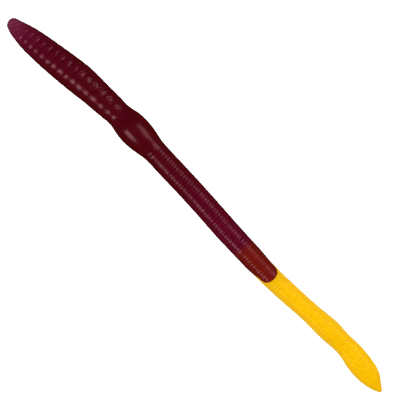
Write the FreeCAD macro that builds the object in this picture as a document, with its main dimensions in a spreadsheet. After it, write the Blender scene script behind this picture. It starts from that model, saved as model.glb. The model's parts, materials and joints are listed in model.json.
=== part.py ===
import FreeCAD, Part
import os

# Soft plastic worm, in millimetres. X runs from the nose (-X) to the tail tip (+X), Z is up, and the
# worm lies on Z = 0 with its origin under the middle of its bounding box.
#
# The outer form is one loft through upright elliptical stations. The worm is soft and bends anywhere,
# so the form is cut into short sections that turn on each other: the rear end of each section is a
# round knuckle about the hinge line, and the front end of the next one is the matching socket.
# Behind the body the yellow tail starts as a tongue, bonded under the maroon lap.

doc = FreeCAD.newDocument("SoftPlasticWorm")
sheet = doc.addObject("Spreadsheet::Sheet", "Dimensions")

# name, distance from the nose tip, half width, half height, sideways offset of the centre line,
# height of the underside above the surface that the worm lies on
STATIONS = (
    ("nose_tip", 0.0, 1.4, 1.4, -2.16, 2.4),
    ("nose_rim", 2.8, 2.58, 2.58, -2.31, 1.55),
    ("nose_cheek", 8.4, 3.85, 3.85, -1.87, 0.6),
    ("head_start", 16.5, 4.66, 4.66, -1.06, 0.12),
    ("head_swell", 24.0, 5.06, 5.06, -0.2, 0.0),
    ("head_middle", 32.0, 5.17, 5.17, 0.66, 0.0),
    ("head_back", 38.5, 4.74, 4.74, 1.08, 0.15),
    ("head_end", 46.0, 4.42, 4.42, 1.42, 0.3),
    ("sac_front", 49.2, 4.32, 4.32, 1.54, 0.35),
    ("sac_rise", 53.0, 5.05, 5.05, 1.54, 0.1),
    ("sac_peak", 57.0, 5.32, 5.32, 1.51, 0.0),
    ("sac_fall", 61.5, 4.85, 4.85, 1.46, 0.1),
    ("sac_back", 65.5, 4.12, 4.12, 1.43, 0.2),
    ("body_start", 70.0, 3.98, 3.98, 1.27, 0.05),
    ("body_front", 81.0, 3.97, 3.97, 0.95, 0.0),
    ("body_middle", 92.0, 3.96, 3.96, 0.46, 0.0),
    ("body_back", 102.5, 3.95, 3.95, -0.14, 0.0),
    ("lap_start", 112.0, 3.81, 3.81, -0.48, 0.0),
    ("lap_middle", 121.0, 3.66, 3.66, -0.72, 0.0),
    ("stem_start", 130.0, 3.55, 3.55, -0.51, 0.0),
    ("stem_middle", 143.5, 3.43, 3.4, 0.29, 0.0),
    ("stem_swell", 151.3, 3.75, 3.3, 0.62, 0.0),
    ("neck", 156.7, 3.43, 2.75, 0.71, 0.0),
    ("paddle_front", 160.0, 3.65, 2.5, 0.65, 0.0),
    ("paddle_wide", 164.6, 4.06, 2.35, 0.09, 0.0),
    ("paddle_back", 169.5, 3.79, 2.05, -0.36, 0.05),
    ("paddle_taper", 173.7, 2.72, 1.6, -0.86, 0.15),
    ("tail_point", 176.6, 1.16, 0.9, -1.43, 0.4),
    ("tail_tip", 178.0, 0.35, 0.35, -1.54, 0.8),
)
STATION_SIZES = ("along", "half_width", "half_height", "side", "rise")

# station of each hinge from nose to tail, and the way its hinge line runs
HINGES = (
    ("head_start", "upright"),
    ("head_middle", "crosswise"),
    ("head_end", "upright"),
    ("body_start", "crosswise"),
    ("body_front", "upright"),
    ("body_middle", "crosswise"),
    ("body_back", "upright"),
    ("stem_start", "crosswise"),
    ("stem_middle", "upright"),
    ("neck", "crosswise"),
)

# sections from nose to tail, one more than the hinges; the lap section is split in two further on
SECTIONS = (
    "nose",
    "head_front",
    "head_rear",
    "egg_sac",
    "body_front",
    "body_middle",
    "body_rear",
    "lap",
    "stem_front",
    "stem_rear",
    "tail_paddle",
)

OTHER_SIZES = {
    "mid_length": 89.0,  # half of the worm's length, which puts the origin under its middle
    "side_trim": -0.517,  # sideways shift of the whole worm that centres its bounding box on Y = 0
    "lift": 0.033,  # the loft dips this far between stations, so the whole worm is raised by it
    "knuckle_ratio": 1.25,  # knuckle radius over the local half width: clears at any angle used
    "hinge_gap": 0.2,  # free space between a knuckle and its socket
    "reach": 12.0,  # how far a cutting block stands out past the centre line
    "tongue_start": 109.0,  # where the yellow tongue begins, from the nose tip
    "tongue_share": 0.45,  # thickness of the tongue over the height of the worm there
    "finger_neck": 116.0,  # where the maroon lap narrows to its rounded finger
    "finger_centre": 121.9,  # centre of the finger's round end
    "finger_radius": 3.2,
    "finger_side": -0.5,  # the finger lies a little towards +Y of the centre line, so yellow shows at -Y
}


def fill_sheet():
    """Put every driving dimension in the sheet, one row each, with an alias."""
    rows = []
    for station in STATIONS:
        for size_name, value in zip(STATION_SIZES, station[1:]):
            rows.append((station[0] + "_" + size_name, value))
    rows.extend(OTHER_SIZES.items())
    for row, (alias, value) in enumerate(rows, start=1):
        sheet.set(f"A{row}", alias)
        sheet.set(f"B{row}", str(value))
        sheet.setAlias(f"B{row}", alias)
    doc.recompute()


def bind(item, **expressions):
    """Bind properties of an object to the sheet; {name} in an expression is the sheet's cell of that name."""
    paths = {"x": ".Placement.Base.x", "y": ".Placement.Base.y", "z": ".Placement.Base.z"}
    for name, expression in expressions.items():
        cells = expression.replace("{", sheet.Name + ".").replace("}", "")
        item.setExpression(paths.get(name, name), cells)
    return item


def centre(station):
    """Expressions for the centre of a station's ellipse."""
    return {
        "x": f"{{{station}_along}} - {{mid_length}}",
        "y": f"{{{station}_side}} + {{side_trim}}",
        "z": f"{{{station}_half_height}} + {{{station}_rise}} + {{lift}}",
    }


def station_ellipse(station):
    """One upright ellipse across the worm, wide along Y and tall along Z."""
    ellipse = doc.addObject("Part::Ellipse", "Station_" + station)
    ellipse.Placement.Rotation = FreeCAD.Rotation(FreeCAD.Vector(1, 1, 1), 120)
    place = centre(station)
    return bind(
        ellipse,
        MajorRadius=f"{{{station}_half_width}}",
        MinorRadius=f"{{{station}_half_height}}",
        **place,
    )


def worm_form():
    """The whole outer form of the worm."""
    form = doc.addObject("Part::Loft", "WormForm")
    form.Sections = [station_ellipse(station[0]) for station in STATIONS]
    form.Solid = True
    form.Ruled = False
    return form


def block(name, start, end, bottom="-{reach}", low_side="-{reach}", high_side="{reach}"):
    """A cutting block, its ends given as distances from the nose tip; every size is an expression."""
    box = doc.addObject("Part::Box", name)
    return bind(
        box,
        Length=f"{end} - ({start})",
        Width=f"{high_side} - ({low_side})",
        Height=f"{{reach}} - ({bottom})",
        x=f"{start} - {{mid_length}}",
        y=f"{low_side} + {{side_trim}}",
        z=bottom,
    )


def hinge_cylinder(name, station, line, gap):
    """A cylinder about a hinge line through the middle of a station."""
    cylinder = doc.addObject("Part::Cylinder", name)
    half_size = "half_width" if line == "upright" else "half_height"
    place = centre(station)
    if line == "upright":
        place["z"] += " - {reach}"
    else:
        cylinder.Placement.Rotation = FreeCAD.Rotation(FreeCAD.Vector(1, 0, 0), -90)
        place["y"] += " - {reach}"
    radius = f"{{knuckle_ratio}} * {{{station}_{half_size}}}"
    return bind(cylinder, Radius=radius + gap, Height="2 * {reach}", **place)


def combine(kind, name, first, second):
    """A boolean of two objects: kind is Cut, Fuse or Common."""
    result = doc.addObject("Part::" + kind, name)
    result.Base = first
    result.Tool = second
    return result


def section_zone(index):
    """The space of one section: a block between its two hinges, less the socket, plus the knuckle."""
    name = SECTIONS[index]
    front = HINGES[index - 1] if index > 0 else None
    rear = HINGES[index] if index < len(HINGES) else None
    start = f"{{{front[0]}_along}}" if front else "-{reach}"
    end = f"{{{rear[0]}_along}}" if rear else "({tail_tip_along} + {reach})"
    zone = block("Block_" + name, start, end)
    if front:
        socket = hinge_cylinder("Socket_" + name, front[0], front[1], " + {hinge_gap}")
        zone = combine("Cut", "Socketed_" + name, zone, socket)
    if rear:
        knuckle = hinge_cylinder("Knuckle_" + name, rear[0], rear[1], "")
        zone = combine("Fuse", "Zone_" + name, zone, knuckle)
    return zone


def lap_region():
    """The space of the maroon end: full round at first, then a finger on top of the yellow tongue."""
    bond = "{lap_start_half_height} * 2 * {tongue_share}"
    full = block("LapFull", "{lap_start_along} - {reach} - {reach}", "{tongue_start}")
    broad = block("LapBroad", "{tongue_start} - {hinge_gap}", "{finger_neck}", bottom=bond)
    finger = block(
        "LapFinger",
        "{finger_neck} - {hinge_gap}",
        "{finger_centre}",
        bottom=bond,
        low_side="{finger_side} - {finger_radius}",
        high_side="{finger_side} + {finger_radius}",
    )
    dome = doc.addObject("Part::Cylinder", "LapDome")
    bind(
        dome,
        Radius="{finger_radius}",
        Height="{reach}",
        x="{finger_centre} - {mid_length}",
        y="{finger_side} + {side_trim}",
        z=bond,
    )
    region = combine("Fuse", "LapWithBroad", full, broad)
    region = combine("Fuse", "LapWithFinger", region, finger)
    return combine("Fuse", "LapRegion", region, dome)


def build_sections():
    """Every sub-part of the worm, labelled with its node's name."""
    form = worm_form()
    parts = []
    for index, name in enumerate(SECTIONS):
        piece = combine("Common", "Section_" + name, form, section_zone(index))
        if name == "lap":
            parts += split_lap(piece)
        else:
            piece.Label = name
            parts.append(piece)
    return parts


def split_lap(lap):
    """The lap section as two bonded pieces: the maroon body's end and the yellow tail's root."""
    region = lap_region()
    body_end = combine("Common", "BodyEnd", lap, region)
    body_end.Label = "body_end"
    tail_root = combine("Cut", "TailRoot", lap, region)
    tail_root.Label = "tail_root"
    return [body_end, tail_root]


def check_document(parts):
    """Stop if anything failed or a sub-part is empty or broken."""
    for item in doc.Objects:
        if "Invalid" in item.State or "Error" in item.State:
            raise RuntimeError(f"{item.Label} failed: {item.State}")
    for part in parts:
        if part.Shape.isNull() or not part.Shape.isValid() or part.Shape.Volume <= 0:
            raise RuntimeError(f"{part.Label} has no valid solid")
        if len(part.Shape.Solids) != 1:
            raise RuntimeError(f"{part.Label} has {len(part.Shape.Solids)} solids")


fill_sheet()
worm_parts = build_sections()
doc.recompute()
check_document(worm_parts)

os.makedirs("parts", exist_ok=True)
whole = FreeCAD.BoundBox()
for part in worm_parts:
    part.Shape.exportStep(f"parts/{part.Label}.step")
    whole.add(part.Shape.optimalBoundingBox(False))
    print(part.Label, round(part.Shape.Volume, 1), "mm3")
print("box", [round(v, 3) for v in (whole.XMin, whole.XMax, whole.YMin, whole.YMax, whole.ZMin, whole.ZMax)])
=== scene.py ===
import json
import math
import random

import bpy
import numpy as np
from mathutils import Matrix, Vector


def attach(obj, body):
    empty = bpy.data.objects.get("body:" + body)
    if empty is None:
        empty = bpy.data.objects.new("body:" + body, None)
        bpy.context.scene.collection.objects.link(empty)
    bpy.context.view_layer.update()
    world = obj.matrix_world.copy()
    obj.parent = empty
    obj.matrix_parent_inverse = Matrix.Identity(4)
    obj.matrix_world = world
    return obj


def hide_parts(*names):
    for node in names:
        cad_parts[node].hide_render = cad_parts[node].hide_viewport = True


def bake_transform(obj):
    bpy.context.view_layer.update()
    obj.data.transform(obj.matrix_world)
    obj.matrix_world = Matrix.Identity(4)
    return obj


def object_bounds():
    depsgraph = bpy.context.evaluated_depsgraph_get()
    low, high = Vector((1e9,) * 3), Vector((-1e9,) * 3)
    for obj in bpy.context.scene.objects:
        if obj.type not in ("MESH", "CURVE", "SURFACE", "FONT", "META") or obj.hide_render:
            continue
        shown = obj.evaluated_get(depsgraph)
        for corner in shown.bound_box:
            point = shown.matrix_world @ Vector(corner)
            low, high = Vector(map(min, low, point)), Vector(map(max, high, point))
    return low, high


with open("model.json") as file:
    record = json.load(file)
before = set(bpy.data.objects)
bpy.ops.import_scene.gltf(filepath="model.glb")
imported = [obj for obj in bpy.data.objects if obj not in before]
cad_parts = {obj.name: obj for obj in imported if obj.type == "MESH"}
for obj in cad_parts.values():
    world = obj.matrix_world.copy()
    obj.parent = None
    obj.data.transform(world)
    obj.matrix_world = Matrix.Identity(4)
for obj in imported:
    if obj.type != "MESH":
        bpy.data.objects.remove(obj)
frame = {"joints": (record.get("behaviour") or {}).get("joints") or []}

# The looks of the soft plastic worm. Its skin is one surface, described by how far a point lies from the
# nose tip and how far round it is, and cut into closed pieces. The cuts
# lie in grooves between two moulded rings. Lengths below are in millimetres, and MM turns them to metres.
# Angles round the worm are in radians, from +Y over the top.

MM = 0.001
CAD_LOW, CAD_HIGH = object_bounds()
NOSE_X = CAD_LOW.x / MM
JOINTS = {joint["name"]: joint for joint in frame["joints"]}
HINGES = {name: joint["pos_m"][0] / MM - NOSE_X for name, joint in JOINTS.items()}
SEED = 7

# distance from the nose tip, half width, half height, centre line to the side, underside above the surface
STATIONS = (
    (0.0, 1.32, 1.32, -2.68, 2.51),
    (2.8, 2.48, 2.48, -2.81, 1.65),
    (5.6, 3.24, 3.24, -2.63, 1.05),
    (8.4, 3.85, 3.85, -2.39, 0.63),
    (12.4, 4.34, 4.34, -2.0, 0.33),
    (16.5, 4.66, 4.66, -1.58, 0.15),
    (24.0, 5.06, 5.06, -0.72, 0.03),
    (31.0, 5.17, 5.17, 0.06, 0.03),
    (38.5, 4.76, 4.76, 0.56, 0.18),
    (46.0, 4.42, 4.42, 0.9, 0.33),
    (49.2, 4.33, 4.33, 1.02, 0.38),
    (53.0, 5.05, 5.05, 1.02, 0.13),
    (57.0, 5.32, 5.32, 0.99, 0.03),
    (61.5, 4.85, 4.85, 0.94, 0.13),
    (65.5, 4.12, 4.12, 0.91, 0.23),
    (70.0, 3.98, 3.98, 0.75, 0.08),
    (81.0, 3.97, 3.97, 0.43, 0.03),
    (92.0, 3.96, 3.96, -0.06, 0.03),
    (102.5, 3.95, 3.95, -0.66, 0.03),
    (112.0, 3.81, 3.81, -1.0, 0.03),
    (121.0, 3.66, 3.66, -1.24, 0.03),
    (130.0, 3.55, 3.55, -1.03, 0.03),
    (143.5, 3.43, 3.4, -0.23, 0.03),
    (151.3, 3.75, 3.3, 0.1, 0.03),
    (156.7, 3.43, 2.75, 0.19, 0.03),
    (160.0, 3.65, 2.5, 0.13, 0.03),
    (164.6, 4.06, 2.35, -0.43, 0.03),
    (169.5, 3.79, 2.05, -0.88, 0.08),
    (173.7, 2.72, 1.6, -1.38, 0.18),
    (176.6, 1.16, 0.9, -1.95, 0.43),
    (178.0, 0.36, 0.36, -2.06, 0.82),
)
LENGTH = STATIONS[-1][0]
NOSE_ROUND = 1.1  # length of the rounded edge of the blunt nose
TIP_ROUND = 0.8  # and of the tail's point, and of the tongue's front

# rings: where they begin and end, the pitch at the nose, its growth per millimetre, how uneven it is
HEAD_SPACING = {"span": (5.3, 49.4), "pitch": 2.25, "growth": 0.027, "jitter": 0.05}
BODY_SPACING = {"span": (65.6, 126.0), "pitch": 1.17, "growth": 0.0, "jitter": 0.07}
TAIL_SPACING = {"span": (109.0, 171.0), "pitch": 1.35, "growth": 0.0, "jitter": 0.08}
# shape of their ridges, where a power of 2 is a parabola and more is flatter on top; slant, and variation
HEAD_RELIEF = {"depth": 0.29, "power": 2.6, "slant": 0.22, "key": 0.6}
BODY_RELIEF = {"depth": 0.16, "power": 2.1, "slant": 0.1, "key": 2.2}
TAIL_RELIEF = {"depth": 0.12, "power": 2.1, "slant": 0.08, "key": 4.0}
RIDGE_SHARE = 0.62  # share of the depth that stands out as a ridge; the rest is the groove
RING_AT_SIDES = 0.22  # share of the depth left at the two sides
RING_WAVER = 0.05  # how far a groove wavers on its way round
RING_TO_RING = (0.2, 12.9898)  # how much the depth varies between rings, and the step of its phase
RING_ROUND = (0.15, 2.4)  # the same on the way round a ring
FADE_MARGIN = 0.2  # the rings fade in and out from this far outside their span
FADE_IN = 2.0
FADE_OUT = 1.6
SKIN_GROWTH = 0.12  # the rings' ridges stand out of the mean surface that the CAD solids have
PADDLE_SMOOTHS = (150.0, 162.0)  # where the tail's rings fade
PADDLE_SMOOTH_SHARE = 0.7  # and how much of them goes

# waves in the surface: height, turn per millimetre along, turn across, phase
SWELLS = (
    (0.5, 0.83, 1, 2.0),
    (0.5, 0.83, -1, 0.6),
    (1.0, 1.71, 2, 0.0),
    (0.7, 2.63, -3, 2.1),
    (0.5, 0.37, 2, 1.1708),
)
SWELL_HEIGHT = 0.013
TAIL_SWELLS = 0.8  # share of it on the yellow tail
CREASES_ONE_WAY = ((1.0, 2.9, 1.9, 0.0), (0.6, 4.3, 0.8, 1.0))
CREASES_OTHER_WAY = ((1.0, 2.4, -2.3, 0.5), (0.6, 0.6, 4.6, 0.0))
CREASE_LEVEL = 1.6  # the greatest height of either
NOSE_CREASES = 0.07  # their depth on the nose
NOSE_CREASES_FADE = (1.5, 9.5)
HEAD_CREASES = 0.08  # and along the top of the head
HEAD_CREASES_BEGIN = (3.0, 13.0)
HEAD_CREASES_END = (46.0, 50.0)
CREASED_FROM_Y = (-0.1, 0.3)  # cosine and sine of the angles between which those fade in
CREASED_FROM_Z = (0.2, 0.5)

# small pits and nicks: distance from the nose, angle round, radius, depth
NICKS = (
    (65.2, 2.12, 0.42, -0.22),
    (66.7, 2.36, 0.38, 0.16),
    (66.3, 1.93, 0.36, 0.17),
    (65.6, 1.6, 0.42, 0.17),
    (78.2, 2.16, 0.26, 0.12),
    (99.2, 1.42, 0.24, 0.14),
    (111.6, 1.98, 0.34, 0.1),
    (47.6, 2.05, 0.5, 0.09),
    (49.0, 1.95, 0.4, -0.08),
    (137.5, 1.68, 0.2, -0.1),
)

TONGUE_START = 109.0  # where the yellow tongue begins under the lap
TONGUE_CLIMB = 6.0  # length over which its rounded front climbs to the bond
TONGUE_SHARE = 0.45  # height of the bond between tongue and lap over the worm's height
STEM_FORMS = (126.0, 136.0)  # the slimmer tongue grows into the full stem between these two
TONGUE_SLACK = 0.2  # the lap's underside leaves this much room in front of the tongue
TONGUE_CURVE = 0.8  # and starts to climb this much later at the sides
FINGER_CENTRE = 122.0  # where the lap's rounded end begins
FINGER_REACH = 2.95  # length of that end
FINGER_POWER = 2.4  # above 2, the end is squarer than an ellipse
EDGE_RISE = (114.5, 122.3)  # where the lap's edges climb from the bond to the finger's edges
LOW_EDGE = 0.6  # angle of the finger's edge above the widest line at -Y
HIGH_EDGE = 0.38  # and at +Y
LAP_LIFT = 0.17  # how far the lap stands proud of the tail
LAP_LIFT_AT_SIDES = 0.35  # share of that at its sides
LAP_LIFTS = (108.0, 111.5)  # where it starts to stand proud
LAP_LIP = 0.45  # width of its rounded edge
LAP_LIP_FORMS = (114.5, 118.5)  # where that edge forms
LAP_LIP_TUCK = 0.04  # how far the edge tucks in below the tail's surface
LAP_LIP_RELIEF = 0.4  # share of the rings' relief left on the edge
LAP_CUT = 5.4  # distance from the lap's hinge to its own stiff piece
TINY = 1e-6  # in place of a width of nothing
NEARLY_ONE = 0.999  # share of the height up to which the outline still has a width

AROUND = 72  # vertices round the skin
LAP_OVER = 52  # vertices over the top of the lap
LAP_UNDER = 28  # and along its underside
STEP = 0.145  # spacing of the loops along the skin
END_GAP = 0.12  # angle at which a rounded end's first loop lies; a fan of faces closes it
END_LOOPS = {"nose": 9, "tip": 8, "tongue": 12, "lap": 33}  # loops along each rounded end
TONGUE_GAP = 0.1  # the same on the tongue
LAP_GAP = 0.02  # and at the lap's end
SHARP_ANGLE = math.radians(60)


# ---------------------------------------------------------------- the worm's surface


def natural_spline(places, values):
    """A natural cubic spline through the points, as a function."""
    x = np.asarray(places, float)
    y = np.asarray(values, float)
    gap = np.diff(x)
    slope = np.diff(y) / gap
    system = np.eye(len(x))
    right = np.zeros(len(x))
    for i in range(1, len(x) - 1):
        system[i, i - 1 : i + 2] = gap[i - 1], 2 * (gap[i - 1] + gap[i]), gap[i]
        right[i] = 6 * (slope[i] - slope[i - 1])
    bend = np.linalg.solve(system, right)

    def value(at):
        at = np.asarray(at, float)
        i = np.clip(np.searchsorted(x, at) - 1, 0, len(gap) - 1)
        before = (at - x[i]) / gap[i]
        after = 1 - before
        cubic = (after**3 - after) * bend[i] + (before**3 - before) * bend[i + 1]
        return after * y[i] + before * y[i + 1] + cubic * gap[i] ** 2 / 6

    return value


PLACES, HALF_WIDTHS, HALF_HEIGHTS, SIDES, RISES = zip(*STATIONS)
half_width = natural_spline(PLACES, HALF_WIDTHS)
half_height = natural_spline(PLACES, HALF_HEIGHTS)
side = natural_spline(PLACES, SIDES)
rise = natural_spline(PLACES, RISES)


def smooth(value, low, high):
    """0 below low, 1 above high, and a smooth step between."""
    t = np.clip((value - low) / (high - low), 0, 1)
    return t * t * (3 - 2 * t)


def quarter_ellipse(share):
    """Height of a quarter ellipse, 0 at share 0 and 1 from share 1 on."""
    return np.sqrt(1 - (1 - np.clip(share, 0, 1)) ** 2)


def end_rounding(along):
    """Share of the outline left near the two ends, where it closes in a quarter ellipse."""
    return quarter_ellipse(along / NOSE_ROUND) * quarter_ellipse((LENGTH - along) / TIP_ROUND)


def ring_grooves(dice, span, pitch, growth, jitter):
    """Where the grooves between rings lie: the pitch grows along the worm and is a little uneven."""
    grooves = [span[0]]
    while grooves[-1] < span[1]:
        step = (pitch + growth * grooves[-1]) * dice.uniform(1 - jitter, 1 + jitter)
        grooves.append(grooves[-1] + step)
    return np.array(grooves[:-1])


dice = random.Random(SEED)
HEAD_GROOVES = ring_grooves(dice, **HEAD_SPACING)
BODY_GROOVES = ring_grooves(dice, **BODY_SPACING)
TAIL_GROOVES = ring_grooves(dice, **TAIL_SPACING)


def more_at_top_and_bottom(around, share):
    """1 at the top and the bottom, and the given share at the two sides."""
    return share + (1 - share) * np.abs(np.sin(around))


def rings(along, around, grooves, depth, power, slant, key):
    """Relief of a set of rings: round ridges between narrow grooves, each ring a little different."""
    along = along + slant * np.cos(around) + RING_WAVER * np.sin(2 * around + key)
    index = np.clip(np.searchsorted(grooves, along) - 1, 0, len(grooves) - 2)
    start = grooves[index]
    t = np.clip((along - start) / (grooves[index + 1] - start), 0, 1)
    ridge = RIDGE_SHARE - np.abs(2 * t - 1) ** power
    uneven = 1 + RING_TO_RING[0] * np.sin(index * RING_TO_RING[1] + key)
    uneven = uneven + RING_ROUND[0] * np.sin(3 * around + index * RING_ROUND[1] + key)
    fade_in = smooth(along, grooves[0] - FADE_MARGIN, grooves[0] + FADE_IN)
    fade_out = 1 - smooth(along, grooves[-1] - FADE_OUT, grooves[-1] + FADE_MARGIN)
    uneven = uneven * more_at_top_and_bottom(around, RING_AT_SIDES)
    return depth * uneven * fade_in * fade_out * ridge


def waves(along, across, rows):
    """The sum of the waves in a table."""
    return sum(
        height * np.sin(turn_along * along + turn_across * across + phase)
        for height, turn_along, turn_across, phase in rows
    )


def swells(along, around):
    """Low uneven swells of a soft moulding."""
    return SWELL_HEIGHT * waves(along, around, SWELLS)


def nicks(along, around):
    """Relief of the nicks."""
    total = np.zeros(np.broadcast(along, around).shape)
    for place, angle, radius, depth in NICKS:
        across = (around - angle) * half_width(place)
        total += depth * np.exp(-((along - place) ** 2 + across**2) / radius**2)
    return total


def crease_lines(along, around):
    """A fine crossed pattern, from -CREASE_LEVEL on its ridges to CREASE_LEVEL in its lines."""
    arc = around * half_width(np.maximum(along, 1.0))
    crossing = np.abs(waves(along, arc, CREASES_ONE_WAY)) + np.abs(waves(along, arc, CREASES_OTHER_WAY))
    return crossing - CREASE_LEVEL


def creases(along, around):
    """Fine crossing creases on the nose, and along the top of the head towards +Y."""
    on_nose = (1 - smooth(along, *NOSE_CREASES_FADE)) * smooth(along, 0.0, 1.0)
    on_head = smooth(along, *HEAD_CREASES_BEGIN) * (1 - smooth(along, *HEAD_CREASES_END))
    on_head = on_head * smooth(np.cos(around), *CREASED_FROM_Y) * smooth(np.sin(around), *CREASED_FROM_Z)
    return -(NOSE_CREASES * on_nose + HEAD_CREASES * on_head) * crease_lines(along, around)


def maroon_relief(along, around):
    """Everything on the maroon skin that stands out of the outline or into it."""
    relief = rings(along, around, HEAD_GROOVES, **HEAD_RELIEF)
    relief = relief + rings(along, around, BODY_GROOVES, **BODY_RELIEF)
    return relief + swells(along, around) + nicks(along, around) + creases(along, around)


def yellow_relief(along, around):
    """The same for the yellow tail, whose rings are faint and fade out on the paddle."""
    fade = 1 - PADDLE_SMOOTH_SHARE * smooth(along, *PADDLE_SMOOTHS)
    relief = rings(along, around, TAIL_GROOVES, **TAIL_RELIEF) * fade
    return relief + TAIL_SWELLS * swells(along, around) + nicks(along, around)


def loops_of(along, around, wide, tall, middle):
    """Elliptical loops in metres, about a middle height: along and around broadcast together."""
    x = NOSE_X + along + 0 * around
    y = side(along) + wide * np.cos(around)
    z = middle + tall * np.sin(around)
    return np.stack([x, y, z], axis=-1) * MM


def skin_loops(along, around, relief):
    """Loops of the skin, which closes at the worm's two ends."""
    close = end_rounding(along)
    wide = (half_width(along) + SKIN_GROWTH + relief) * close
    tall = (half_height(along) + SKIN_GROWTH + relief) * close
    return loops_of(along, around, wide, tall, rise(along) + half_height(along))


# ---------------------------------------------------------------- colours along the worm

PINK_FADE = 8.0  # the nose's pink fades by this length
# the pale tip is a painted highlight, lighter on the ridges between the creases
PALE_FADE = 3.2  # and its pale tip by this one
PALE_MOST = 0.8  # share of the pale colour at the very tip
PALE_PATTERN = 0.9  # how much the creases show in the pale tip
PALE_AT_SIDES = 0.4  # share of both left at the two sides
BODY_TINT = (68.0, 108.0)  # where the head's colour turns into the body's
SAC_BEGINS = (49.0, 54.0)
SAC_ENDS = (60.0, 67.0)
# painted shadow of the lap on the yellow close behind it
TAIL_SHADED = (124.0, 131.0)  # the yellow is a little darker close behind the lap
TONGUE_SHOWS = (-0.3, 2.8)  # where the tongue begins to show through, from its start
TONGUE_SHOWS_CURVE = 0.6  # later at +Y by this, and earlier at -Y
TONGUE_EDGE = (0.86, 1.02)  # share of the half width where it stops showing


def colour_marks(along, around):
    """Values that the materials read: how near the nose, how near the crown, which is painted lighter than
    the painted shade at the sides, over the tongue, and where the lap's shadow is painted.
    """
    y_share = np.cos(around)
    upward = more_at_top_and_bottom(around, PALE_AT_SIDES)
    # painted highlight on the nose tip's crease ridges
    pale = PALE_MOST * (1 - PALE_PATTERN * crease_lines(along, around))
    behind_front = along - TONGUE_START - TONGUE_SHOWS_CURVE * y_share
    return {
        "near_nose": np.exp(-along / PINK_FADE) * upward,
        "tip_highlight": pale * np.exp(-along / PALE_FADE) * upward,
        "near_lap": smooth(along, *BODY_TINT),
        # painted light and shade round the worm: 1 on the crown and the underside, 0 at the sides
        "lit_crown_share": np.abs(np.sin(around)),
        "over_tongue": smooth(behind_front, *TONGUE_SHOWS) * (1 - smooth(np.abs(y_share), *TONGUE_EDGE)),
        "lap_shadow": 1 - smooth(along, *TAIL_SHADED),
        "on_sac": smooth(along, *SAC_BEGINS) * (1 - smooth(along, *SAC_ENDS)),
    }


# ---------------------------------------------------------------- meshes


def stops(start, end):
    """Places along the skin from start to end, closer together at the worm's own rounded ends."""
    count = max(2, round((end - start) / STEP))
    places = np.linspace(start, end, count + 1)
    if start == 0:
        close = NOSE_ROUND * (1 - np.cos(np.linspace(END_GAP, math.pi / 2, END_LOOPS["nose"])))
        places = np.r_[close, places[places > NOSE_ROUND + STEP / 2]]
    if end == LENGTH:
        close = LENGTH - TIP_ROUND * (1 - np.cos(np.linspace(math.pi / 2, END_GAP, END_LOOPS["tip"])))
        places = np.r_[places[places < LENGTH - TIP_ROUND - STEP / 2], close]
    return places


def closed_tube(name, loops, marks):
    """A closed mesh through loops of points, with a fan at each end. marks are named values per point."""
    rows, columns = loops.shape[:2]
    points = [*loops.reshape(-1, 3), loops[0].mean(axis=0), loops[-1].mean(axis=0)]
    first_centre = rows * columns
    faces = []
    for row in range(rows - 1):
        for column in range(columns):
            beside = (column + 1) % columns
            here, there = row * columns, (row + 1) * columns
            faces.append((here + column, here + beside, there + beside, there + column))
    last = (rows - 1) * columns
    for column in range(columns):
        beside = (column + 1) % columns
        faces.append((beside, column, first_centre))
        faces.append((last + column, last + beside, first_centre + 1))
    mesh = bpy.data.meshes.new(name)
    mesh.from_pydata([tuple(point) for point in points], [], faces)
    mesh.polygons.foreach_set("use_smooth", [True] * len(faces))
    for label, values in marks.items():
        flat = np.broadcast_to(values, (rows, columns)).reshape(-1)
        flat = np.r_[flat, flat[0], flat[last]]
        mesh.attributes.new(label, "FLOAT", "POINT").data.foreach_set("value", flat.astype(np.float32))
    place = mesh.attributes.new("rest_place", "FLOAT_VECTOR", "POINT")
    place.data.foreach_set("vector", (np.array(points) / MM).astype(np.float32).reshape(-1))
    mesh.set_sharp_from_angle(angle=SHARP_ANGLE)
    mesh.validate()
    piece = bpy.data.objects.new(name, mesh)
    bpy.context.scene.collection.objects.link(piece)
    return piece


def all_round():
    """Angles of the vertices round the skin."""
    return np.linspace(0, 2 * math.pi, AROUND, endpoint=False)[None, :]


def skin(name, start, end, relief_of):
    """One closed stretch of the skin between two distances from the nose tip."""
    along, around = stops(start, end)[:, None], all_round()
    loops = skin_loops(along, around, relief_of(along, around))
    return closed_tube(name, loops, colour_marks(along, around))


def tongue_skin(name, end):
    """The yellow tail's front stretch: a round tongue with a blunt front under the lap, then the stem."""
    front = 1 - np.cos(np.linspace(TONGUE_GAP, math.pi / 2, END_LOOPS["tongue"]))
    behind = stops(TONGUE_START + TIP_ROUND + STEP, end)
    along, around = np.r_[TONGUE_START + TIP_ROUND * front, behind][:, None], all_round()
    stem = smooth(along, *STEM_FORMS)
    radius = half_width(along) + yellow_relief(along, around)
    wide = radius + SKIN_GROWTH * stem
    tall = radius + (half_height(along) - half_width(along) + SKIN_GROWTH) * stem
    close = quarter_ellipse((along - TONGUE_START) / TIP_ROUND)
    loops = loops_of(along, around, wide * close, tall * close, rise(along) + half_height(along) * close)
    return closed_tube(name, loops, colour_marks(along, around))


def lap_outline(place, wide):
    """Left and right edge of the lap seen from above, from its centre line: it ends as a rounded finger."""
    risen = smooth(place, *EDGE_RISE)
    low, high = wide * math.cos(LOW_EDGE * risen), wide * math.cos(HIGH_EDGE * risen)
    beyond = max(0.0, (place - FINGER_CENTRE) / FINGER_REACH)
    close = max(0.0, 1 - beyond**FINGER_POWER) ** (1 / FINGER_POWER)
    centre, half = (high - low) / 2, (high + low) / 2 * close
    return centre - half, centre + half


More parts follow.
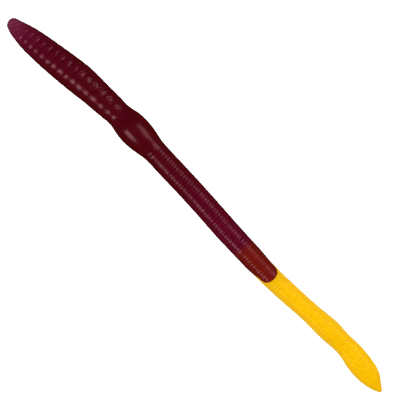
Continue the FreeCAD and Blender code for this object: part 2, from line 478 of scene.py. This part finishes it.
def lap_top(place, wide, tall, right, left, lift, lipped):
    """The lap's top from one edge's angle to the other's, with a rounded lip: angles, y and z."""
    top = np.linspace(right, left, LAP_OVER)
    from_side = (top - right) * (left - top) / max(left - right, TINY) * wide
    from_end = FINGER_CENTRE + FINGER_REACH - place
    edge = 1 - lipped * (1 - quarter_ellipse(np.minimum(from_side, from_end) / LAP_LIP))
    out = lift * edge * more_at_top_and_bottom(top, LAP_LIFT_AT_SIDES)
    out = out - LAP_LIP_TUCK * lipped * (1 - edge)
    out = out + maroon_relief(place, top) * (LAP_LIP_RELIEF + (1 - LAP_LIP_RELIEF) * edge)
    return top, (wide + out) * np.cos(top), (tall + out) * np.sin(top)


def lap_rest(place, tall, across, lipped):
    """Height of the tongue's top under the lap, across the worm from 0 at -Y to 1 at +Y."""
    risen = smooth(place, *EDGE_RISE)
    bond = tall * (2 * TONGUE_SHARE - 1)
    low_edge = bond + (tall * math.sin(LOW_EDGE * risen) - bond) * lipped
    high_edge = bond + (tall * math.sin(HIGH_EDGE * risen) - bond) * lipped
    return low_edge + (high_edge - low_edge) * across


def lap_loop(place):
    """One loop round the lap: over the top, then back along the underside, which rests on the tongue."""
    wide = float(half_width(place)) + SKIN_GROWTH
    tall = float(half_height(place)) + SKIN_GROWTH
    low_side, high_side = lap_outline(place, wide)
    lipped = smooth(place, *LAP_LIP_FORMS)
    right = math.acos(np.clip(high_side / wide, -1, 1))
    left = math.pi - math.acos(np.clip(-low_side / wide, -1, 1))
    lift = LAP_LIFT * smooth(place, *LAP_LIFTS)
    top, top_y, top_z = lap_top(place, wide, tall, right, left, lift, lipped)

    under = np.linspace(left, 2 * math.pi + right, LAP_UNDER + 2)[1:-1]
    slack = lift * LAP_LIFT_AT_SIDES * (1 - lipped)
    out = slack + maroon_relief(place, under)
    under_y, under_z = (wide + out) * np.cos(under), (tall + out) * np.sin(under)
    across = np.clip(under_y / wide, -1, 1) / 2 + 0.5
    front = TONGUE_START + TONGUE_SLACK + TONGUE_CURVE * (under_y / wide) ** 2
    climb = quarter_ellipse((place - front) / TONGUE_CLIMB)
    below = -tall - 1
    floor = below + (lap_rest(place, tall, across, lipped) - below) * climb
    under_z = np.minimum(np.maximum(under_z, floor), top_z[-1] + (top_z[0] - top_z[-1]) * across)
    reach = (wide + out) * np.sqrt(1 - np.clip(under_z / tall, 0, NEARLY_ONE) ** 2)
    under_y = np.clip(under_y, np.maximum(-reach, low_side - slack), np.minimum(reach, high_side + slack))

    y = float(side(place)) + np.r_[top_y, under_y]
    z = float(rise(place)) + float(half_height(place)) + np.r_[top_z, under_z]
    x = np.full_like(y, NOSE_X + place)
    return np.stack([x, y, z], axis=-1) * MM, np.r_[top, under]


def lap_skin(name, start):
    """The maroon end: full round at first, then a rounded finger that lies on the yellow tongue."""
    turn = np.linspace(0, math.pi / 2 - LAP_GAP, END_LOOPS["lap"] + 1)[1:]
    along = np.r_[stops(start, FINGER_CENTRE), FINGER_CENTRE + FINGER_REACH * np.sin(turn)]
    loops, angles = zip(*(lap_loop(place) for place in along))
    return closed_tube(name, np.array(loops), colour_marks(along[:, None], np.array(angles)))


# ---------------------------------------------------------------- cuts between the pieces


def groove_near(place, grooves):
    """The groove nearest to a place, where a cut between two pieces doesn't show."""
    return float(grooves[np.argmin(np.abs(grooves - place))])


def groove_between(first, second, grooves):
    """The groove nearest to the middle between two hinges."""
    return groove_near((HINGES[first] + HINGES[second]) / 2, grooves)


def cut_places():
    """Where the skin is cut: midway between joints, moved to the nearest groove."""
    return {
        "head_1": groove_between("nose_wag", "head_front_nod", HEAD_GROOVES),
        "head_2": groove_between("head_front_nod", "head_rear_wag", HEAD_GROOVES),
        "sac_front": float(HEAD_GROOVES[-1]),
        "sac_back": float(BODY_GROOVES[0]),
        "body_1": groove_between("egg_sac_nod", "body_front_wag", BODY_GROOVES),
        "body_2": groove_between("body_front_wag", "body_rear_nod", BODY_GROOVES),
        "body_3": groove_between("body_rear_nod", "lap_wag", BODY_GROOVES),
        "lap_front": groove_near(HINGES["lap_wag"] + LAP_CUT, BODY_GROOVES),
        "tail_1": groove_between("stem_front_nod", "stem_rear_wag", TAIL_GROOVES),
        "tail_2": groove_between("stem_rear_wag", "paddle_nod", TAIL_GROOVES),
    }


def bend_across(piece):
    """Bake a piece's placement into its mesh."""
    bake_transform(piece)


# ---------------------------------------------------------------- materials

# each centre colour is the crown, painted lighter and more purple as if lit from above, and each edge
# colour is the sides, painted darker as shade
HEAD_CENTRE = (0.078, 0.0006, 0.0062, 1)
HEAD_SIDE_SHADE = (0.07, 0.0005, 0.0008, 1)
SAC_CENTRE = (0.074, 0.0004, 0.0046, 1)
BODY_CENTRE = (0.103, 0.0006, 0.0155, 1)
BODY_SIDE_SHADE = (0.098, 0.0006, 0.0095, 1)
NOSE_PINK = (0.178, 0.002, 0.042, 1)
NOSE_PALE_HIGHLIGHT = (0.25, 0.05, 0.1, 1)
LAP_CENTRE = (0.158, 0.0065, 0.003, 1)
LAP_SIDE_SHADE = (0.125, 0.0045, 0.001, 1)
YELLOW = (0.965, 0.53, 0.0004, 1)
YELLOW_DEEP = (0.91, 0.475, 0.0005, 1)
YELLOW_LAP_SHADOW = (0.85, 0.46, 0.0005, 1)
YELLOW_SIDE_SHADE = (0.8, 0.47, 0.006, 1)
# these two pairs are multiplied with the maroon: its painted rim shade and its clouds
RIM_SHADE_TINTS = (0.74, 0.66, 0.7, 1), (1, 1, 1, 1)
CLOUD_TINTS = (0.92, 0.85, 0.85, 1), (1.07, 1.1, 1.15, 1)

# how near the crown the painted shade of the rim ends and the crown's painted lighter colour begins
MAROON_RIM_SHADE = (0.1, 0.5)
MAROON_LIT_CROWN = (0.5, 0.95)
YELLOW_RIM_SHADE = (0.1, 0.6)
MAROON_CLOUD_SCALE = 0.45  # noise scales are per millimetre
YELLOW_CLOUD_SCALE = 0.8
CLOUD_LEVELS = (0.35, 0.7)  # noise values between which a cloud fades in
PATCH_LEVELS = (0.3, 0.75)
NOISE_DETAIL = 3.0
NOISE_ROUGHNESS = 0.55
# roughness: noise scale, lowest and highest; bumps: noise scale, depth in millimetres and strength
MAROON_ROUGHNESS = (1.3, 0.2, 0.28)
MAROON_BUMPS = ((1.6, 0.025, 0.35), (7.0, 0.006, 0.3))
MAROON_GLOSS = {"Specular Tint": (1.0, 0.45, 0.5, 1), "Specular IOR Level": 0.34}
YELLOW_ROUGHNESS = (1.1, 0.3, 0.4)
YELLOW_BUMPS = ((1.3, 0.08, 0.4), (7.0, 0.01, 0.3))
YELLOW_GLOSS = {"Specular Tint": (1.0, 0.85, 0.15, 1), "Specular IOR Level": 0.27}


def join(tree, value, socket):
    """Link a socket, or set a plain value."""
    if isinstance(value, bpy.types.NodeSocket):
        tree.links.new(value, socket)
    else:
        socket.default_value = value


def add(tree, kind, settings, inputs):
    """A node with its settings and its inputs, which are values or sockets."""
    node = tree.nodes.new(kind)
    for name, value in settings.items():
        setattr(node, name, value)
    for name, value in inputs.items():
        join(tree, value, node.inputs[name])
    return node


def mix(tree, share, first, second, blend="MIX"):
    """The colour between two colours or sockets."""
    node = add(tree, "ShaderNodeMix", {"data_type": "RGBA", "blend_type": blend}, {})
    factor, first_colour, second_colour = node.inputs[0], node.inputs[6], node.inputs[7]
    join(tree, share, factor)
    join(tree, first, first_colour)
    join(tree, second, second_colour)
    colour = node.outputs[2]
    return colour


def ramp(tree, value, levels):
    """A value mapped from the two levels to 0..1, smoothly."""
    inputs = {"Value": value, "From Min": levels[0], "From Max": levels[1]}
    return add(tree, "ShaderNodeMapRange", {"interpolation_type": "SMOOTHSTEP"}, inputs).outputs["Result"]


def mark(tree, name, output="Fac"):
    """A value stored on the mesh."""
    return add(tree, "ShaderNodeAttribute", {"attribute_name": name}, {}).outputs[output]


def start_material(name):
    """A new material with an empty Principled shader."""
    material = bpy.data.materials.new(name)
    material.use_nodes = True
    tree = material.node_tree
    return material, tree, tree.nodes["Principled BSDF"]


def grain(tree, scale):
    """A noise texture in the worm's own millimetres at rest."""
    inputs = {
        "Vector": mark(tree, "rest_place", "Vector"),
        "Scale": scale,
        "Detail": NOISE_DETAIL,
        "Roughness": NOISE_ROUGHNESS,
    }
    return add(tree, "ShaderNodeTexNoise", {}, inputs).outputs["Fac"]


def vary_roughness(tree, shader, scale, low, high):
    """Let the roughness vary in patches between two values."""
    inputs = {"Value": ramp(tree, grain(tree, scale), PATCH_LEVELS), "To Min": low, "To Max": high}
    patches = add(tree, "ShaderNodeMapRange", {}, inputs)
    tree.links.new(patches.outputs["Result"], shader.inputs["Roughness"])


def bumps(tree, shader, layers):
    """Chain bump layers of noise into the shader's normal."""
    normal = None
    for scale, depth, strength in layers:
        inputs = {"Height": grain(tree, scale), "Strength": strength, "Distance": depth * MM}
        if normal is not None:
            inputs["Normal"] = normal
        normal = add(tree, "ShaderNodeBump", {}, inputs).outputs["Normal"]
    tree.links.new(normal, shader.inputs["Normal"])


def finish_plastic(tree, shader, base, roughness, layers, gloss):
    """Link a plastic's colour, and give it its roughness, fine bumps and gloss."""
    tree.links.new(base, shader.inputs["Base Color"])
    vary_roughness(tree, shader, *roughness)
    bumps(tree, shader, layers)
    for name, value in gloss.items():
        shader.inputs[name].default_value = value


def maroon_plastic():
    """Dark translucent maroon plastic, pinker at the nose and browner where it lies over yellow, with a
    painted lighter crown and painted shade at its sides.
    """
    material, tree, shader = start_material("maroon_plastic")
    # painted light and shade: the lighter centre colours on the crown, the darker edge colours at the sides
    crown = ramp(tree, mark(tree, "lit_crown_share"), MAROON_LIT_CROWN)
    near_lap = mark(tree, "near_lap")
    centre = mix(tree, mark(tree, "on_sac"), HEAD_CENTRE, SAC_CENTRE)
    centre = mix(tree, near_lap, centre, BODY_CENTRE)
    base = mix(tree, crown, mix(tree, near_lap, HEAD_SIDE_SHADE, BODY_SIDE_SHADE), centre)
    base = mix(tree, mark(tree, "near_nose"), base, NOSE_PINK)
    # painted highlight on the nose tip
    base = mix(tree, mark(tree, "tip_highlight"), base, NOSE_PALE_HIGHLIGHT)
    base = mix(tree, mark(tree, "over_tongue"), base, mix(tree, crown, LAP_SIDE_SHADE, LAP_CENTRE))
    # painted shade: the maroon is darkened further at its sides
    rim = ramp(tree, mark(tree, "lit_crown_share"), MAROON_RIM_SHADE)
    base = mix(tree, 1.0, base, mix(tree, rim, *RIM_SHADE_TINTS), "MULTIPLY")
    cloud = ramp(tree, grain(tree, MAROON_CLOUD_SCALE), CLOUD_LEVELS)
    base = mix(tree, 1.0, base, mix(tree, cloud, *CLOUD_TINTS), "MULTIPLY")
    finish_plastic(tree, shader, base, MAROON_ROUGHNESS, MAROON_BUMPS, MAROON_GLOSS)
    return material


def yellow_plastic():
    """Opaque yellow plastic, painted olive at its sides as shade, and painted darker close behind the lap
    as the lap's shadow.
    """
    material, tree, shader = start_material("yellow_plastic")
    cloud = ramp(tree, grain(tree, YELLOW_CLOUD_SCALE), CLOUD_LEVELS)
    # painted shadow of the lap on the yellow close behind it
    yellow = mix(tree, mark(tree, "lap_shadow"), mix(tree, cloud, YELLOW, YELLOW_DEEP), YELLOW_LAP_SHADOW)
    # painted shade: olive towards the sides
    base = mix(tree, ramp(tree, mark(tree, "lit_crown_share"), YELLOW_RIM_SHADE), YELLOW_SIDE_SHADE, yellow)
    finish_plastic(tree, shader, base, YELLOW_ROUGHNESS, YELLOW_BUMPS, YELLOW_GLOSS)
    return material


# ---------------------------------------------------------------- the worm


def finish_piece(piece, material, nodes):
    """Give a piece its material, and hide the CAD nodes that it stands for."""
    piece.data.materials.append(material)
    if nodes:
        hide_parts(*nodes)


def build_worm():
    """Every piece of the skin, in place of its CAD nodes; the egg sac's and the lap's are put on their
    bodies.
    """
    cut = cut_places()
    maroon, yellow = maroon_plastic(), yellow_plastic()
    # name, start, end, joint it lies at, CAD nodes it stands for
    maroon_rows = (
        ("nose_skin", 0, cut["head_1"], "nose_wag", ["nose"]),
        ("head_front_skin", cut["head_1"], cut["head_2"], "head_front_nod", ["head_front"]),
        ("head_rear_skin", cut["head_2"], cut["sac_front"], "head_rear_wag", ["head_rear"]),
        ("egg_sac_skin", cut["sac_front"], cut["sac_back"], None, ["egg_sac"]),
        ("body_front_skin", cut["sac_back"], cut["body_1"], "egg_sac_nod", ["body_front"]),
        ("body_middle_skin", cut["body_1"], cut["body_2"], "body_front_wag", ["body_middle"]),
        ("body_rear_skin", cut["body_2"], cut["body_3"], "body_rear_nod", ["body_rear"]),
        ("lap_front_skin", cut["body_3"], cut["lap_front"], "lap_wag", []),
    )
    yellow_rows = (
        ("stem_rear_skin", cut["tail_1"], cut["tail_2"], "stem_rear_wag", ["stem_rear"]),
        ("paddle_skin", cut["tail_2"], LENGTH, "paddle_nod", ["tail_paddle"]),
    )
    for rows, relief_of, material, slot in (
        (maroon_rows, maroon_relief, maroon, "body_plastic"),
        (yellow_rows, yellow_relief, yellow, "tail_plastic"),
    ):
        for name, start, end, joint, nodes in rows:
            piece = skin(name, start, end, relief_of)
            if joint:
                bend_across(piece)
            else:
                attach(piece, "egg_sac")
            finish_piece(piece, material, nodes)
    lap = lap_skin("lap_skin", cut["lap_front"])
    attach(lap, "lap")
    finish_piece(lap, maroon, ["body_end"])
    tongue = tongue_skin("stem_front_skin", cut["tail_1"])
    bend_across(tongue)
    finish_piece(tongue, yellow, ["tail_root", "stem_front"])


# ---------------------------------------------------------------- studio

VIEW_WIDTH = 134.8  # what the camera sees across the worm's middle height
LENS = 200.0
SENSOR = 36.0
CAMERA_TURN = 45.18  # degrees: the worm lies corner to corner of the frame
VIEW_CENTRE = (-0.45, 0.13, 5.0)
FLOOR_DROP = 120.0  # the pale floor lies this far below the worm
FLOOR_REACH = 6.0  # metres from the middle to each side
FLOOR_LOOK = {
    "Base Color": (0.92, 0.92, 0.92, 1),
    "Roughness": 0.9,
    "Emission Color": (1, 1, 1, 1),
    "Emission Strength": 0.72,
}
ROOM_LIGHT = 0.3  # strength of the surround for everything but the camera
# lights: place and size in metres, power in watts
KEY = {"place": (-0.035, -0.345, 0.29), "size": (0.24, 0.2), "power": 0.93}
FILL = {"place": (0.11, 0.31, 0.3), "size": (0.31, 0.24), "power": 0.7}
OVERHEAD = {"place": (0.0, 0.31, 0.86), "size": (0.8, 0.8), "power": 3.1}


def softbox(name, place, size, power):
    """A soft light that faces the worm; size is its length along the worm and its width."""
    light = bpy.data.lights.new(name, "AREA")
    light.shape = "RECTANGLE"
    light.size, light.size_y = size
    light.energy = power
    lamp = bpy.data.objects.new(name, light)
    lamp.location = place
    x, y, z = place
    lamp.rotation_euler = (math.atan2(math.hypot(x, y), z), 0, math.atan2(y, x) + math.pi / 2)
    bpy.context.scene.collection.objects.link(lamp)
    return lamp


def pale_floor():
    """A wide pale floor below the worm. It lights the worm but isn't mirrored in its gloss."""
    low, high = -FLOOR_REACH, FLOOR_REACH
    corners = ((low, low), (high, low), (high, high), (low, high))
    mesh = bpy.data.meshes.new("floor")
    mesh.from_pydata([(x, y, -FLOOR_DROP * MM) for x, y in corners], [], [(0, 1, 2, 3)])
    floor = bpy.data.objects.new("floor", mesh)
    bpy.context.scene.collection.objects.link(floor)
    material, _, shader = start_material("pale_floor")
    for name, value in FLOOR_LOOK.items():
        shader.inputs[name].default_value = value
    mesh.materials.append(material)
    floor.visible_glossy = False


def pale_room():
    """A white surround for the camera, and a dim one for everything else."""
    world = bpy.data.worlds.new("room")
    bpy.context.scene.world = world
    world.use_nodes = True
    world.cycles_visibility.glossy = False
    tree = world.node_tree
    background = tree.nodes["Background"]
    is_camera = add(tree, "ShaderNodeLightPath", {}, {}).outputs["Is Camera Ray"]
    inputs = {"Value": is_camera, "To Min": ROOM_LIGHT, "To Max": 1.0}
    strength = add(tree, "ShaderNodeMapRange", {}, inputs).outputs["Result"]
    tree.links.new(strength, background.inputs["Strength"])
    background.inputs["Color"].default_value = (1, 1, 1, 1)


def camera():
    """A long lens straight above the worm."""
    data = bpy.data.cameras.new("camera")
    data.lens = LENS
    data.sensor_width = SENSOR
    distance = VIEW_WIDTH * LENS / SENSOR
    eye = bpy.data.objects.new("camera", data)
    x, y, z = VIEW_CENTRE
    eye.location = (x * MM, y * MM, (z + distance) * MM)
    eye.rotation_euler = (0, 0, math.radians(CAMERA_TURN))
    bpy.context.scene.collection.objects.link(eye)
    bpy.context.scene.camera = eye


camera()
build_worm()
pale_floor()
pale_room()
softbox("key_light", **KEY)
softbox("fill_light", **FILL)
softbox("overhead_light", **OVERHEAD).visible_glossy = False
bpy.context.scene.view_settings.view_transform = "Standard"
